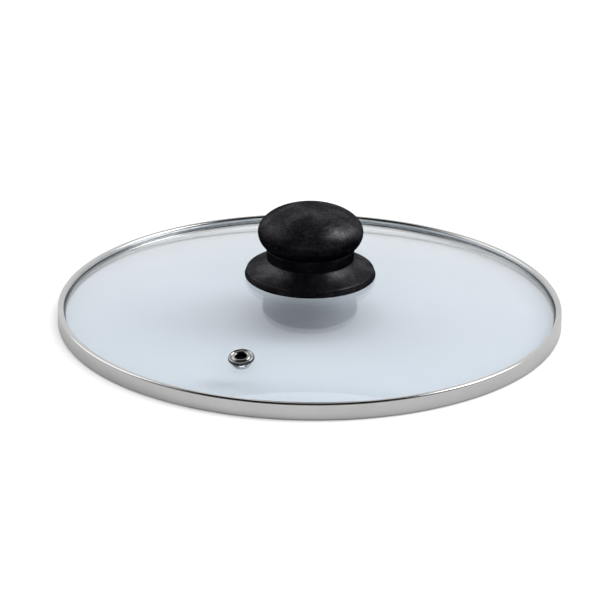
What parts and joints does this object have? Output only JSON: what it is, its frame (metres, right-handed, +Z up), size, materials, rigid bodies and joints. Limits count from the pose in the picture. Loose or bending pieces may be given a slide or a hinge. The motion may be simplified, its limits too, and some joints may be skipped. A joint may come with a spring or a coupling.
{
  "type": "glass pan lid",
  "caption": "Domed round glass pan lid with a folded steel rim, a steam vent eyelet and a two-part black knob that unscrews.",
  "frame": {"origin": "on the lid's axis, in the plane that the rim rests on", "axes": "+Z up along the knob's axis, -Y towards the front, with the vent to the front left"},
  "size_m": [0.24, 0.24, 0.0578],
  "materials": {
    "glass": "clear tempered glass with a faint blue tint",
    "rim_steel": "satin stainless, polished along the folded edge",
    "bright_steel": "bright stainless",
    "phenolic": "satin black phenolic with a fine grain",
    "brass": "turned brass",
    "black_silicone": "matt black silicone",
    "clear_silicone": "translucent silicone"
  },
  "bodies": {
    "lid": {"glass_dome": "glass", "rim_band": "rim_steel", "rim_sealant": "clear_silicone", "vent_eyelet": "bright_steel", "vent_grommet": "black_silicone", "vent_washer": "bright_steel", "knob_screw": "bright_steel", "screw_washer": "bright_steel", "screw_seal": "black_silicone"},
    "knob_seat": {"knob_gasket": "black_silicone"},
    "knob": {"knob_grip": "phenolic", "knob_skirt": "phenolic", "knob_insert": "brass"}
  },
  "joints": [
    {"name": "knob_lift", "type": "slide", "parent": "lid", "child": "knob_seat", "axis": [0, 0, 1], "range_m": [0, 0.008]},
    {"name": "knob_turn", "type": "hinge", "parent": "knob_seat", "child": "knob", "pos_m": [0, 0, 0.0233], "axis": [0, 0, 1], "range_deg": [0, 3600]}
  ],
  "couplings": [
    {"joint": "knob_lift", "follows": "knob_turn", "m_per_rad": 0.00012732}
  ]
}
